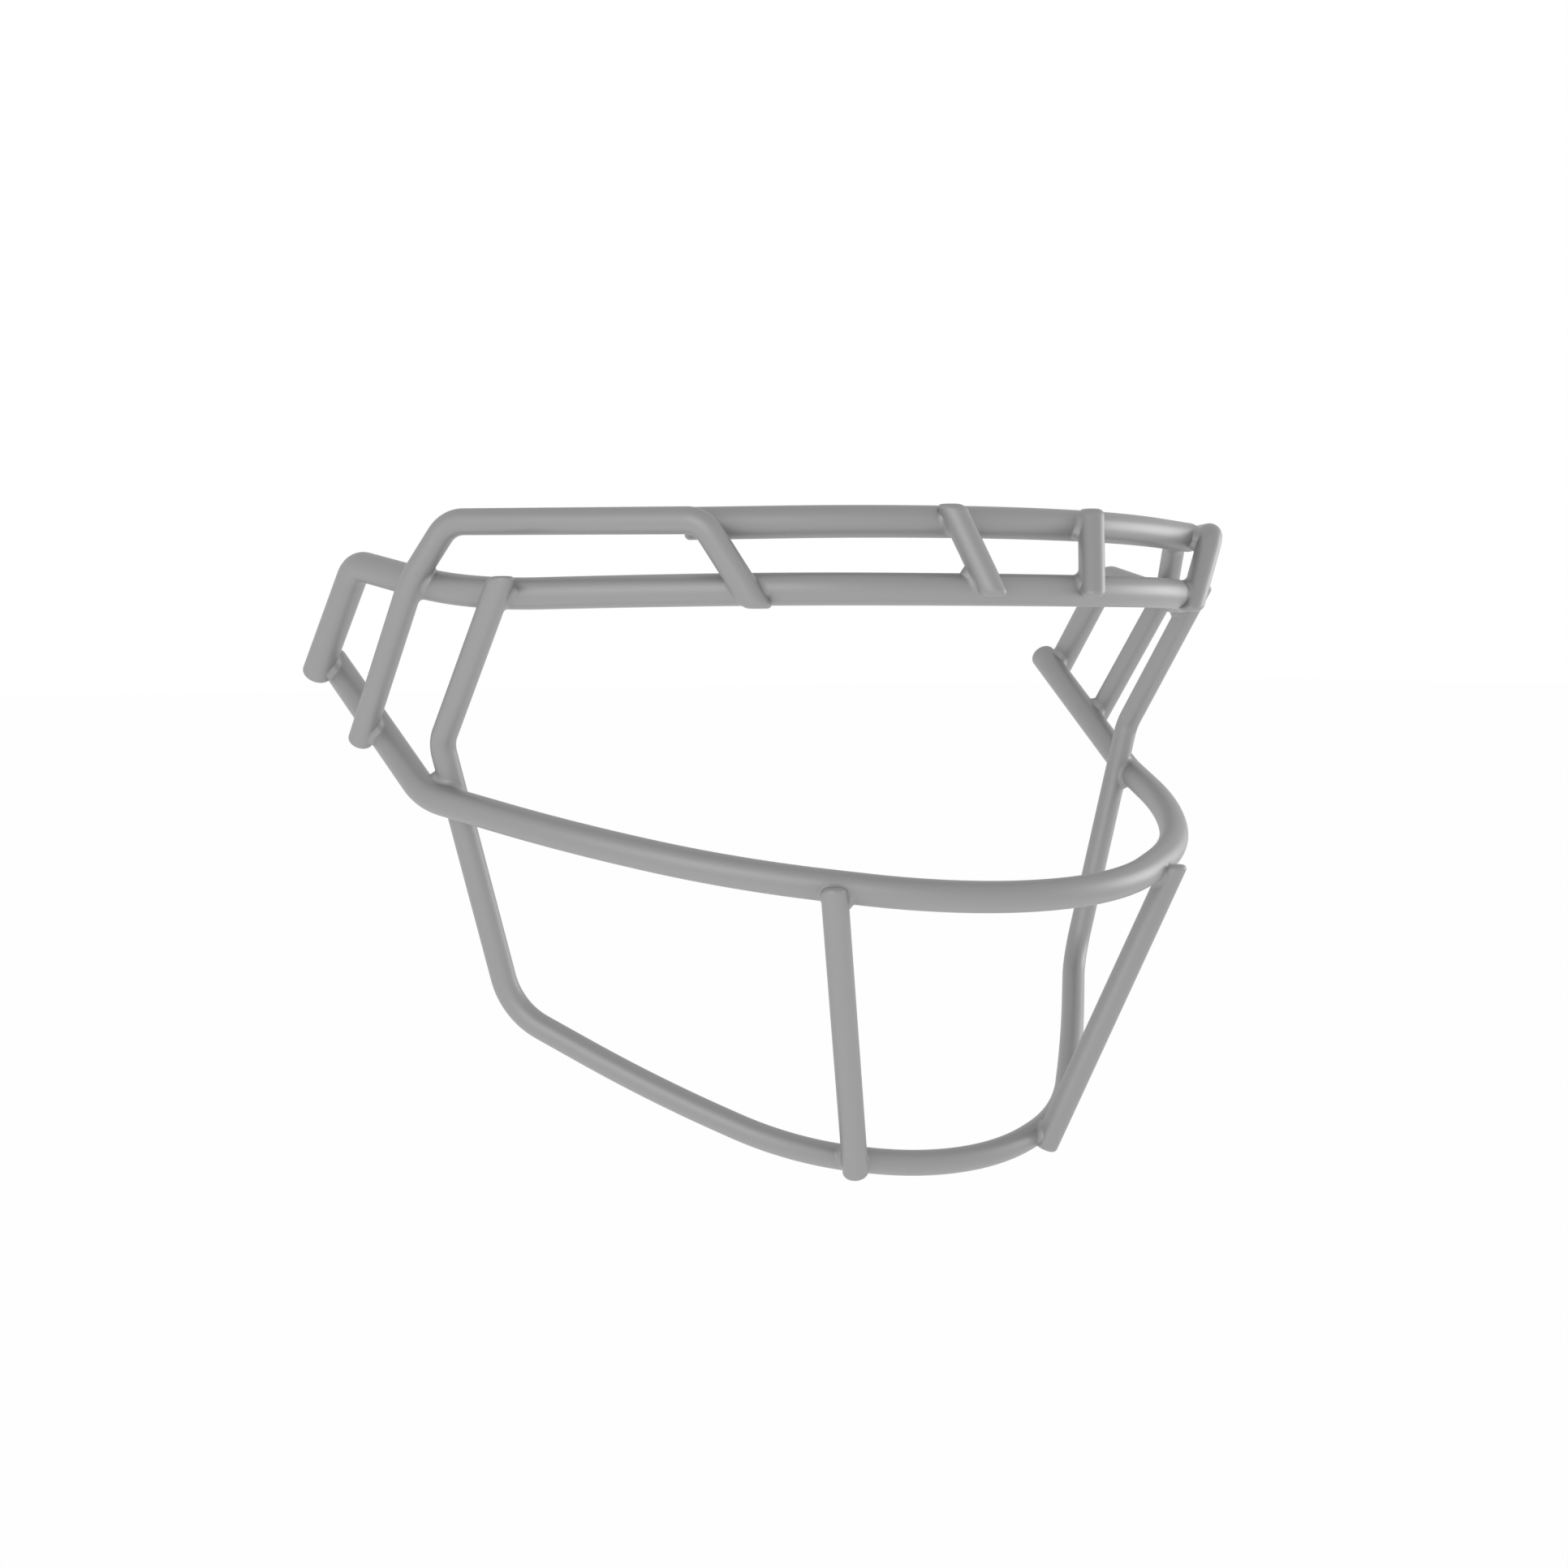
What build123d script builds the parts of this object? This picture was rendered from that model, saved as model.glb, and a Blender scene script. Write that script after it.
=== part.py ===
from build123d import *
import os
from math import radians, tan

# Football helmet facemask: ten bent steel rods, welded where they cross, each in a baked coat.
# +X is the wearer's left, -Y is forward and +Z is up. Millimetres.
# The origin is the middle of the lower brow bar at the forehead, on its centre line.

# Rod, coat and welds
thick_rod = 6.35
thin_rod = 5.2
coat = 0.375
weld_sink = 1.4
weld_leg = 1.7
end_rounding = 1.1
cut_rounding = 0.7
cut_overrun = 3.5
thick_bend = 6.5
thin_bend = 7.6
front_bend = 5.7
knee_bend = 15.0
jaw_bend = 20.0
chin_bend = 15.7

# Lower brow bar: the front arc, the rear runs and the legs at the ears
brow_half_width = 113.7
brow_depth = 108.7
ear_rise = 6.4
brow_dip = 1.1
leg_splay = 1.2
leg_back = 22.6
leg_drop = 26.0
brow_arc_shares = [(0.92, 0.633, 1), (0.708, 0.379, 0.342), (0.484, 0.118, 0), (0.174, 0, 0)]

# The other bars' widths are shares of the lower brow bar's half-width, and their depths of its depth.
# Upper brow bar: a shallow arc above the lower one
brow_spacing = 14.9
upper_width_share = 0.635
upper_depth_share = 0.216
upper_setback = 4.9
upper_droop = 0.9
upper_arc_shares = [(1, 1, 1), (0.584, 0.359, 0.215), (0.204, 0, 0)]

# Jaw bar: from the legs down to a bend, then round in front of the mouth
jaw_width_share = 0.926
jaw_bend_back_share = 0.823
jaw_bend_drop = 46.8
jaw_lead = 5.4
jaw_front_drop = 67.3
jaw_arc_shares = [(1, 1, 1), (0.83, 0.606, 0.61), (0.599, 0.282, 0.273), (0.208, 0, 0)]
leg_below_jaw = 2.2
jaw_behind_leg = 3.1

# Chin loop: from the lower brow bar down inside the jaw bar and round the chin
loop_top_back_share = 0.576
loop_above_brow = 3.6
loop_jaw_back_share = 0.785
knee_drop = 34.6
chin_width_share = 0.747
chin_corner_back_share = 0.801
chin_corner_drop = 98.0
chin_front_back_share = 0.233
chin_drop = 132.1
chin_arc_shares = [(1, 1, 1), (0.74, 0.573, 0.52), (0.468, 0.172, 0.137), (0.149, 0, 0)]

# Side guards: up the outside of the jaw and brow bars, forward, and down at the front
guard_jaw_back_share = 1.012
guard_brow_back_share = 0.768
guard_below_jaw = 3.6
guard_knee_lift = 1.7
guard_top_width_share = 0.941
guard_top_back_share = 0.668
guard_top_height = 15.2
guard_bend_lead = 6.2
guard_bend_lift = 0.5
guard_low_width_share = 0.529
guard_below_brow = 4.2
upper_weld_inset = 2.0

# Brow struts and chin posts
strut_top_width_share = 0.161
strut_low_width_share = 0.124
strut_above = 3.9
strut_collar_drop = 0.35
strut_below = 1.5
post_top_width_share = 0.4
post_low_width_share = 0.233
post_above = 0.2
post_below = 0.6

thick_bar = thick_rod + 2 * coat
thin_bar = thin_rod + 2 * coat
run_share = 0.495
search_steps = 40


def mirrored(point):
    return Vector(-point.X, point.Y, point.Z)


def both_sides(corners):
    """The corners of the left half followed by their mirror images."""
    return corners + [mirrored(corner) for corner in reversed(corners)]


def arc_corners(shares, half_width, front, depth, level, rise):
    """Corners from shares of a half-width, of a depth behind the front, and of a rise over the level."""
    return [Vector(half_width * a, front + depth * b, level + rise * c) for a, b, c in shares]


def bent(corners, radii):
    """A route of straight runs and arcs. A radius of None is as large as its two runs allow."""
    sizes = []
    for before, corner, after, radius in zip(corners, corners[1:], corners[2:], radii):
        run_in, run_out = corner - before, after - corner
        if radius is None:
            reach = run_share * min(run_in.length, run_out.length)
            radius = reach / tan(radians(run_in.get_angle(run_out)) / 2)
        sizes.append(radius)
    with BuildLine() as route:
        FilletPolyline(*corners, radius=sizes)
    return route.wires()[0]


def straight(ends):
    """A route of one straight run."""
    with BuildLine() as route:
        Line(*ends)
    return route.wires()[0]


def found(route, axis, value, low=0.0, high=0.5):
    """The share of a route's length at which one coordinate has a value, by halving."""
    def beyond(share):
        return getattr(route @ share, axis) - value
    rising = beyond(high) > beyond(low)
    for _ in range(search_steps):
        middle = (low + high) / 2
        if (beyond(middle) > 0) == rising:
            high = middle
        else:
            low = middle
    return (low + high) / 2


def at_level(seat, line, level):
    """The point at a level on the line through a seat."""
    return seat + line * ((level - seat.Z) / line.Z)


def beside(point, tangent, direction, towards, rod, other_rod):
    """The centre of a rod that is welded across another, on the side that faces a direction."""
    normal = tangent.cross(direction).normalized()
    if normal.dot(towards) < 0:
        normal = normal * -1
    return point + normal * ((rod + other_rod) / 2 - weld_sink)


LEFT, FORWARD, UP = Vector(1, 0, 0), Vector(0, -1, 0), Vector(0, 0, 1)

# Routes of the thick bars
ear_bend = Vector(brow_half_width, brow_depth, ear_rise)
leg_end = ear_bend + Vector(leg_splay, leg_back, -leg_drop)
brow_arc = arc_corners(brow_arc_shares, brow_half_width, 0, brow_depth, 0, -brow_dip)
brow_corners = both_sides([leg_end, ear_bend] + brow_arc)
brow_radii = [thick_bend] + [None] * (len(brow_corners) - 4) + [thick_bend]
lower_brow_route = bent(brow_corners, brow_radii)

upper_arc = arc_corners(
    upper_arc_shares, upper_width_share * brow_half_width, upper_setback, upper_depth_share * brow_depth,
    brow_spacing, -upper_droop,
)
upper_brow_route = bent(both_sides(upper_arc), [None] * 4)

jaw_depth = jaw_bend_back_share * brow_depth + jaw_lead
jaw_rise = jaw_front_drop - jaw_bend_drop
jaw_arc = arc_corners(
    jaw_arc_shares, jaw_width_share * brow_half_width, -jaw_lead, jaw_depth, -jaw_front_drop, jaw_rise
)
leg_line = (leg_end - ear_bend).normalized()
leg_seat = leg_end - leg_line * leg_below_jaw
jaw_seat = beside(leg_seat, leg_line, leg_seat - jaw_arc[0], LEFT * -1, thick_rod, thick_rod)
jaw_end = jaw_seat + (jaw_seat - jaw_arc[0]).normalized() * jaw_behind_leg
jaw_corners = both_sides([jaw_end] + jaw_arc)
jaw_radii = [jaw_bend] + [None] * (len(jaw_corners) - 4) + [jaw_bend]
jaw_route = bent(jaw_corners, jaw_radii)

# Chin loop
chin_depth = (chin_corner_back_share - chin_front_back_share) * brow_depth
chin_rise = chin_drop - chin_corner_drop
chin_arc = arc_corners(
    chin_arc_shares, chin_width_share * brow_half_width, chin_front_back_share * brow_depth, chin_depth,
    -chin_drop, chin_rise,
)
loop_jaw_share = found(jaw_route, "Y", loop_jaw_back_share * brow_depth)
loop_jaw_point = jaw_route @ loop_jaw_share
loop_inner = beside(
    loop_jaw_point, jaw_route % loop_jaw_share, loop_jaw_point - chin_arc[0], LEFT * -1, thick_rod, thin_rod
)
side_line = loop_inner - chin_arc[0]
knee = loop_inner + side_line * ((-knee_drop - loop_inner.Z) / side_line.Z)
loop_brow_share = found(lower_brow_route, "Y", loop_top_back_share * brow_depth)
loop_brow_point = lower_brow_route @ loop_brow_share
loop_top = beside(
    loop_brow_point, lower_brow_route % loop_brow_share, loop_brow_point - knee, LEFT, thick_rod, thin_rod
)
loop_line = (loop_top - knee).normalized()
loop_end = at_level(loop_top, loop_line, loop_brow_point.Z + loop_above_brow)
loop_corners = both_sides([loop_end + loop_line * cut_overrun, knee] + chin_arc)
loop_radii = [thin_bend, chin_bend] + [None] * (len(loop_corners) - 6) + [chin_bend, thin_bend]
chin_loop_route = bent(loop_corners, loop_radii)

# Left side guard
jaw_share = found(jaw_route, "Y", guard_jaw_back_share * brow_depth)
brow_share = found(lower_brow_route, "Y", guard_brow_back_share * brow_depth)
guard_rise = lower_brow_route @ brow_share - jaw_route @ jaw_share
guard_at_jaw = beside(jaw_route @ jaw_share, jaw_route % jaw_share, guard_rise, LEFT, thick_rod, thin_rod)
guard_at_rear = beside(
    lower_brow_route @ brow_share, lower_brow_route % brow_share, guard_rise, LEFT, thick_rod, thin_rod
)
guard_line = (guard_at_rear - guard_at_jaw).normalized()
guard_top = Vector(guard_top_width_share * brow_half_width, guard_top_back_share * brow_depth, guard_top_height)
# The top run passes the upper brow bar's end at the distance of two welded rods
upper_tip = upper_brow_route @ 0
beside_tip = upper_tip
for _ in range(search_steps):
    top_line = (beside_tip - guard_top).normalized()
    outward = top_line.cross(UP).normalized() * -1
    beside_tip = upper_tip + outward * ((thick_rod + thin_rod) / 2 - weld_sink) + UP * guard_bend_lift
guard_front = beside_tip + top_line * guard_bend_lead
guard_low_share = found(lower_brow_route, "X", guard_low_width_share * brow_half_width)
guard_low_point = lower_brow_route @ guard_low_share
guard_at_low = beside(
    guard_low_point, lower_brow_route % guard_low_share, guard_front - guard_low_point, FORWARD, thick_rod, thin_rod
)
drop_line = (guard_at_low - guard_front).normalized()
guard_start = guard_at_jaw - guard_line * guard_below_jaw
guard_end = at_level(guard_at_low, drop_line, guard_low_point.Z - guard_below_brow)
guard_corners = [
    guard_start,
    guard_at_rear + guard_line * guard_knee_lift,
    guard_top,
    guard_front,
    guard_end + drop_line * cut_overrun,
]
guard_radii = [knee_bend, thin_bend, front_bend]
guard_route = bent(guard_corners, guard_radii)
upper_end = upper_brow_route @ (upper_weld_inset / upper_brow_route.length)
guard_at_upper = guard_route.closest_points(upper_end)[0]


def crossing_bar(upper, upper_width_share, upper_rod, lower, lower_width_share, lower_rod):
    """A straight thin bar in front of two bars: the point on each of them and the thin bar's seat there."""
    shares = (
        found(upper, "X", upper_width_share * brow_half_width),
        found(lower, "X", lower_width_share * brow_half_width),
    )
    points = upper @ shares[0], lower @ shares[1]
    line = points[0] - points[1]
    top = beside(points[0], upper % shares[0], line, FORWARD, upper_rod, thin_rod)
    low = beside(points[1], lower % shares[1], line, FORWARD, lower_rod, thin_rod)
    return points[0], top, points[1], low


strut_upper_point, strut_top, strut_lower_point, strut_low = crossing_bar(
    upper_brow_route, strut_top_width_share, thick_rod, lower_brow_route, strut_low_width_share, thick_rod
)
strut_line = (strut_top - strut_low).normalized()
strut_top_end = at_level(strut_top, strut_line, strut_upper_point.Z + strut_above)
strut_low_end = at_level(strut_low, strut_line, strut_lower_point.Z - strut_below)
strut_corners = [strut_top_end + strut_line * cut_overrun, strut_low_end - strut_line * cut_overrun]

post_jaw_point, post_top, post_chin_point, post_low = crossing_bar(
    jaw_route, post_top_width_share, thick_rod, chin_loop_route, post_low_width_share, thin_rod
)
post_line = (post_top - post_low).normalized()
post_top_end = at_level(post_top, post_line, post_jaw_point.Z + post_above)
post_low_end = post_low - post_line * post_below
post_corners = [post_top_end + post_line * cut_overrun, post_low_end]


def on_right(corners):
    return [mirrored(corner) for corner in corners]


# The collar at a strut's top ends a little below the strut
collar_top = strut_top_end - UP * strut_collar_drop

# The ends that are cut level, as a point and the way out
loop_cuts = [(loop_end, UP), (mirrored(loop_end), UP)]
guard_cuts = [(guard_end, UP * -1)]
strut_cuts = [(strut_top_end, UP), (strut_low_end, UP * -1)]
post_cuts = [(post_top_end, UP)]


def cuts_on_right(cuts):
    return [(mirrored(point), way_out) for point, way_out in cuts]


# Every bar's route, rod and level cuts, the bars that stay whole at a weld first
bars = {
    "lower_brow": (lower_brow_route, thick_rod, []),
    "upper_brow": (upper_brow_route, thick_rod, []),
    "jaw": (jaw_route, thick_rod, []),
    "chin_loop": (chin_loop_route, thin_rod, loop_cuts),
    "left_guard": (guard_route, thin_rod, guard_cuts),
    "right_guard": (bent(on_right(guard_corners), guard_radii), thin_rod, cuts_on_right(guard_cuts)),
    "left_strut": (straight(strut_corners), thin_rod, strut_cuts),
    "right_strut": (straight(on_right(strut_corners)), thin_rod, cuts_on_right(strut_cuts)),
    "left_post": (straight(post_corners), thin_rod, post_cuts),
    "right_post": (straight(on_right(post_corners)), thin_rod, cuts_on_right(post_cuts)),
}

# Left-hand welds: name, bar that stays whole, bar welded onto it, and the two centre points there.
# The last value is the plane of a free end close by, as a point and the way out, or None.
left_welds = [
    ("leg_jaw", "lower_brow", "jaw", leg_seat, jaw_seat, (leg_end, leg_line)),
    ("guard_jaw", "jaw", "left_guard", jaw_route @ jaw_share, guard_at_jaw, (guard_start, guard_line * -1)),
    ("guard_rear", "lower_brow", "left_guard", lower_brow_route @ brow_share, guard_at_rear, None),
    ("guard_upper", "upper_brow", "left_guard", upper_end, guard_at_upper, None),
    ("guard_lower", "lower_brow", "left_guard", guard_low_point, guard_at_low, guard_cuts[0]),
    ("strut_upper", "upper_brow", "left_strut", strut_upper_point, strut_top, (collar_top, UP)),
    ("strut_lower", "lower_brow", "left_strut", strut_lower_point, strut_low, strut_cuts[1]),
    ("loop_brow", "lower_brow", "chin_loop", loop_brow_point, loop_top, loop_cuts[0]),
    ("loop_jaw", "jaw", "chin_loop", loop_jaw_point, loop_inner, None),
    ("post_jaw", "jaw", "left_post", post_jaw_point, post_top, post_cuts[0]),
    ("post_chin", "chin_loop", "left_post", post_chin_point, post_low, (post_low_end, post_line * -1)),
]


def swept(route, diameter):
    """A round bar along a route."""
    with BuildPart() as bar:
        with BuildSketch(Plane(origin=route @ 0, z_dir=route % 0)):
            Circle(diameter / 2)
        sweep(path=route)
    return bar.part


def cut_tool(point, way_out):
    """Takes away what lies beyond a level cut, in the part that is being built."""
    with Locations(Plane(origin=point, z_dir=way_out)):
        Cylinder(thick_bar, thick_bar, align=(Align.CENTER, Align.CENTER, Align.MIN), mode=Mode.SUBTRACT)


# Whole bars and whole rods, before they are cut to each other
coated = {}
rods = {}
for name, (route, rod, cuts) in bars.items():
    with BuildPart() as blank:
        add(swept(route, rod + 2 * coat))
        for point, way_out in cuts:
            cut_tool(point, way_out)
        square_ends = blank.faces().filter_by(GeomType.PLANE).filter_by(Axis.Z, reverse=True)
        if square_ends:
            fillet(square_ends.edges(), radius=end_rounding)
        level_ends = blank.faces().filter_by(GeomType.PLANE).filter_by(Axis.Z)
        if level_ends:
            fillet(level_ends.edges(), radius=cut_rounding)
    coated[name] = blank.part
    with BuildPart() as core:
        add(swept(route.trim(coat / route.length, 1 - coat / route.length), rod))
        for point, way_out in cuts:
            cut_tool(point - way_out * cut_rounding, way_out)
    rods[name] = core.part

pairs = []
for name, base, rider, base_point, rider_point, free_end in left_welds:
    pairs.append((base, rider))
    if rider.startswith("left"):
        pairs.append((base, rider.replace("left", "right")))


def save(part, name):
    part.label = name
    export_step(part, f"parts/{name}.step")


os.makedirs("parts", exist_ok=True)
for name in bars:
    bases = [base for base, rider in pairs if rider == name]
    riders = [rider for base, rider in pairs if base == name]
    with BuildPart() as wire:
        add(rods[name])
        for base in bases:
            add(rods[base], mode=Mode.SUBTRACT)
    save(wire.part, f"{name}_wire")
    with BuildPart() as sleeve:
        add(coated[name])
        add(rods[name], mode=Mode.SUBTRACT)
        for base in bases:
            add(coated[base], mode=Mode.SUBTRACT)
        for rider in riders:
            add(rods[rider], mode=Mode.SUBTRACT)
    save(sleeve.part, f"{name}_coat")

for name, base, rider, base_point, rider_point, free_end in left_welds:
    toward = (rider_point - base_point).normalized()
    centre = base_point + toward * ((bars[base][1] - weld_sink) / 2)
    reach = (bars[rider][1] + 2 * coat) / 2 + weld_leg
    with BuildPart() as bead:
        with Locations(Plane(origin=centre, z_dir=toward).location):
            Sphere(reach)
        add(coated[base], mode=Mode.SUBTRACT)
        add(coated[rider], mode=Mode.SUBTRACT)
        if free_end is not None:
            split(bisect_by=Plane(origin=free_end[0], z_dir=free_end[1]), keep=Keep.BOTTOM)
    save(bead.part, f"left_weld_{name}")
    with BuildPart() as twin:
        add(bead.part)
        mirror(about=Plane.YZ, mode=Mode.REPLACE)
    save(twin.part, f"right_weld_{name}")
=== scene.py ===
"""Football helmet facemask: smooth coated bars and weld collars over its packed frame.

Metres. +X is the wearer's left, -Y is forward and +Z is up. The origin is the middle of the
lower brow bar at the forehead.
"""
import math

import bpy
import numpy as np
from bpy.props import FloatProperty, FloatVectorProperty, PointerProperty
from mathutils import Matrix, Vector


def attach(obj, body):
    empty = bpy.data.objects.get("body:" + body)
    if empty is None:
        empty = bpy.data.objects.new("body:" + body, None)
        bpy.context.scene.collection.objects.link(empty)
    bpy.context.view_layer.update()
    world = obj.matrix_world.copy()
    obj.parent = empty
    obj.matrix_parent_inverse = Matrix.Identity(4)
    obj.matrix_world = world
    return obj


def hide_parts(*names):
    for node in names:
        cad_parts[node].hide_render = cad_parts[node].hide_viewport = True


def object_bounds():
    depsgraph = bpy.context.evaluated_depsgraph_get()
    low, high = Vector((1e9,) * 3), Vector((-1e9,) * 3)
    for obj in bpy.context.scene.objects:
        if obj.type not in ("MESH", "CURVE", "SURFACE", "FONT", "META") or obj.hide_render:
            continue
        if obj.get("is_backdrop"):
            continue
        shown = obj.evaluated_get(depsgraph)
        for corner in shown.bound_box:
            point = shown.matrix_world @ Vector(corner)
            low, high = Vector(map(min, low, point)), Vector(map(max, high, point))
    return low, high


bl_info = {
    "name": "Football helmet facemask",
    "version": (1, 0, 0),
    "blender": (4, 5, 0),
    "location": "View3D > Sidebar > Facemask",
    "description": "Builds the coated bars and the weld collars of a helmet facemask over its packed frame",
    "category": "Add Mesh",
}

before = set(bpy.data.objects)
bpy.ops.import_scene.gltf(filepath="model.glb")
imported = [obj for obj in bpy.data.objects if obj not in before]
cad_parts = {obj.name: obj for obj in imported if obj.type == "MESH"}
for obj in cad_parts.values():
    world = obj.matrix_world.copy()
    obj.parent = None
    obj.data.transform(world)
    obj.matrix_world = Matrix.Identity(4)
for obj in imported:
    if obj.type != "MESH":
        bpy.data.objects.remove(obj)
CAD_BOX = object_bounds()

X, Y, Z = 0, 1, 2
LEFT = np.array([1.0, 0, 0])
RIGHT = np.array([-1.0, 0, 0])
FORWARD = np.array([0, -1.0, 0])
BACK = np.array([0, 1.0, 0])
UP = np.array([0, 0, 1.0])
TO_RIGHT_SIDE = np.array([-1.0, 1, 1])


def length(label, millimetres, about):
    return FloatProperty(
        name=label, description=about, default=millimetres / 1000, unit="LENGTH", precision=5
    )


def share(label, value, about):
    return FloatProperty(name=label, description=about, default=value, min=0, max=1, subtype="FACTOR")


def watts(label, value, about):
    return FloatProperty(name=label, description=about, default=value, min=0, unit="POWER")


def spot(label, value, about):
    return FloatVectorProperty(
        name=label, description=about, default=value, size=3, subtype="XYZ_LENGTH", precision=5
    )


def colour(label, value, about):
    return FloatVectorProperty(
        name=label, description=about, default=value, size=3, min=0, max=1, subtype="COLOR"
    )


class FacemaskWire(bpy.types.PropertyGroup):
    """Rods, coat, bends and welds."""

    thick_rod: length("Thick rod", 6.35, "Diameter of the brow and jaw rods")
    thin_rod: length("Thin rod", 5.2, "Diameter of the chin loop, guards, struts and posts")
    coat: length("Coat", 0.375, "Thickness of the baked coat")
    weld_sink: length("Weld sink", 1.4, "How far two rods sink into each other at a weld")
    collar: length("Collar", 1.3, "Radius of the hollow between two welded bars")
    collar_reach: length("Collar reach", 5.2, "Furthest that a collar runs along a bar from its weld")
    end_rounding: length("End rounding", 1.1, "Rounding of the coated ends that are cut square")
    cut_rounding: length("Cut rounding", 1.5, "Rounding of the coated ends that are cut level")
    thick_bend: length("Ear bend", 6.5, "Centre radius of the lower brow bar's bends at the ears")
    thin_bend: length("Thin bend", 7.6, "Centre radius of the bends of the thin bars")
    front_bend: length("Guard front bend", 5.7, "Centre radius of the guards' bends at the front")
    knee_bend: length("Guard knee", 15, "Centre radius of the guards' bends above the lower brow bar")
    jaw_bend: length("Jaw bend", 20, "Centre radius of the jaw bar's bends below the ears")
    chin_bend: length("Chin bend", 15.7, "Centre radius of the chin loop's bends at the corners")


class FacemaskBrow(bpy.types.PropertyGroup):
    """Lower and upper brow bars."""

    half_width: length("Half width", 113.7, "Half of the lower bar's width at its ear bends")
    depth: length("Depth", 108.7, "From the front to the ear bends")
    ear_rise: length("Ear rise", 6.4, "Height of the ear bends over the front")
    dip: length("Dip", 1.1, "How far the rear runs start below the front")
    leg_splay: length("Leg splay", 1.2, "How far a leg leans outwards")
    leg_back: length("Leg back", 22.6, "How far a leg runs back")
    leg_drop: length("Leg drop", 26, "How far a leg runs down")
    spacing: length("Bar spacing", 14.9, "Height of the upper bar's front over the lower one's")
    upper_half_width: length("Upper half width", 72.2, "Half of the upper bar's width")
    upper_depth: length("Upper depth", 23.48, "From the upper bar's front to its ends")
    upper_setback: length("Upper setback", 4.9, "How far the upper bar's front is behind the lower one's")
    upper_droop: length("Upper droop", 0.9, "How far the upper bar's ends are below its front")


class FacemaskJaw(bpy.types.PropertyGroup):
    """Jaw bar and chin loop."""

    half_width: length("Half width", 105.29, "Half of the jaw bar's width at its bends")
    bend_back: length("Bend back", 89.46, "How far back the jaw bar's bends are")
    bend_drop: length("Bend drop", 46.8, "How far down the jaw bar's bends are")
    lead: length("Lead", 5.4, "How far the jaw bar stands in front of the brow bar")
    front_drop: length("Front drop", 67.3, "How far down the jaw bar's front is")
    leg_below: length("Leg below", 2.2, "How far a leg runs on below its weld")
    behind_leg: length("Behind leg", 3.1, "How far the jaw bar runs on behind a leg")
    loop_top_back: length("Loop top", 62.61, "How far back the chin loop meets the lower brow bar")
    loop_above: length("Loop above", 3.6, "Height of the loop's level ends over the brow bar's centre")
    loop_jaw_back: length("Loop at jaw", 85.33, "How far back the chin loop meets the jaw bar")
    knee_drop: length("Knee drop", 34.6, "How far down the chin loop's knees are")
    chin_half_width: length("Chin half width", 84.93, "Half of the chin loop's width at its corners")
    chin_back: length("Chin corner back", 87.07, "How far back the chin loop's corners are")
    chin_corner_drop: length("Chin corner drop", 98, "How far down the chin loop's corners are")
    chin_front: length("Chin front", 25.33, "How far back the chin loop's front is")
    chin_drop: length("Chin drop", 132.1, "How far down the chin loop's front is")


class FacemaskGuards(bpy.types.PropertyGroup):
    """Side guards, brow struts and chin posts."""

    jaw_back: length("Guard at jaw", 110, "How far back a guard meets the jaw bar")
    brow_back: length("Guard at brow", 83.48, "How far back a guard meets the lower brow bar")
    below_jaw: length("Guard below jaw", 3.6, "How far a guard starts below its weld on the jaw bar")
    knee_lift: length("Knee lift", 1.7, "How far a guard's knee is past the lower brow bar")
    top_half_width: length("Top half width", 106.99, "Half of the width over the guards' upper bends")
    top_back: length("Top back", 72.61, "How far back the guards' upper bends are")
    top_height: length("Top height", 15.2, "How high the guards' upper bends are")
    front_lead: length("Front lead", 6.2, "How far a front bend is past the upper bar's end")
    front_lift: length("Front lift", 0.5, "How far a front bend is above the upper bar's end")
    low_half_width: length("Low half width", 60.15, "Half of the width between the guards' lower ends")
    below_brow: length("Below brow", 4.2, "How far a guard's level end is below the brow bar's centre")
    upper_inset: length("Upper weld inset", 2, "From the upper bar's end to its weld on a guard")
    strut_top: length("Strut top", 18.31, "Half of the width between the struts' tops")
    strut_low: length("Strut foot", 14.1, "Half of the width between the struts' feet")
    strut_above: length("Strut above", 3.75, "Height of a strut's level top over the upper bar's centre")
    strut_below: length("Strut below", 1.5, "Depth of a strut's level foot under the lower bar's centre")
    post_top: length("Post top", 45.48, "Half of the width between the posts' tops")
    post_low: length("Post foot", 26.49, "Half of the width between the posts' feet")
    post_above: length("Post above", 0.2, "Height of a post's level top over the jaw bar's centre")
    post_below: length("Post below", 2, "How far a post runs on below the chin loop's weld")


class FacemaskFinish(bpy.types.PropertyGroup):
    """Baked coat and bare rod."""

    coat_colour: colour("Coat colour", (0.235, 0.235, 0.235), "Mid grey of the powder coat")
    coat_shade: colour("Coat shade", (0.2, 0.2, 0.2), "Darker grey in the coat's faint mottle")
    steel_colour: colour("Steel colour", (0.55, 0.55, 0.56), "Drawn steel inside the coat")
    grain: length("Grain", 0.45, "Width of the coat's finest bumps")
    mottle: length("Mottle", 5, "Width of the coat's faint patches")
    bump: share("Bump", 0.55, "Strength of the coat's bumps")
    bump_height: length("Bump height", 0.1, "Height of the coat's bumps at full strength")
    smoothness: share("Smoothness", 0.62, "How smooth the coat's colour layer is")
    unevenness: share("Unevenness", 0.08, "How much the roughness changes from patch to patch")
    sheen: share("Sheen", 1.0, "Weight of the clear skin on the coat")
    skin_roughness: share("Skin roughness", 0.06, "Roughness of the clear skin")


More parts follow.
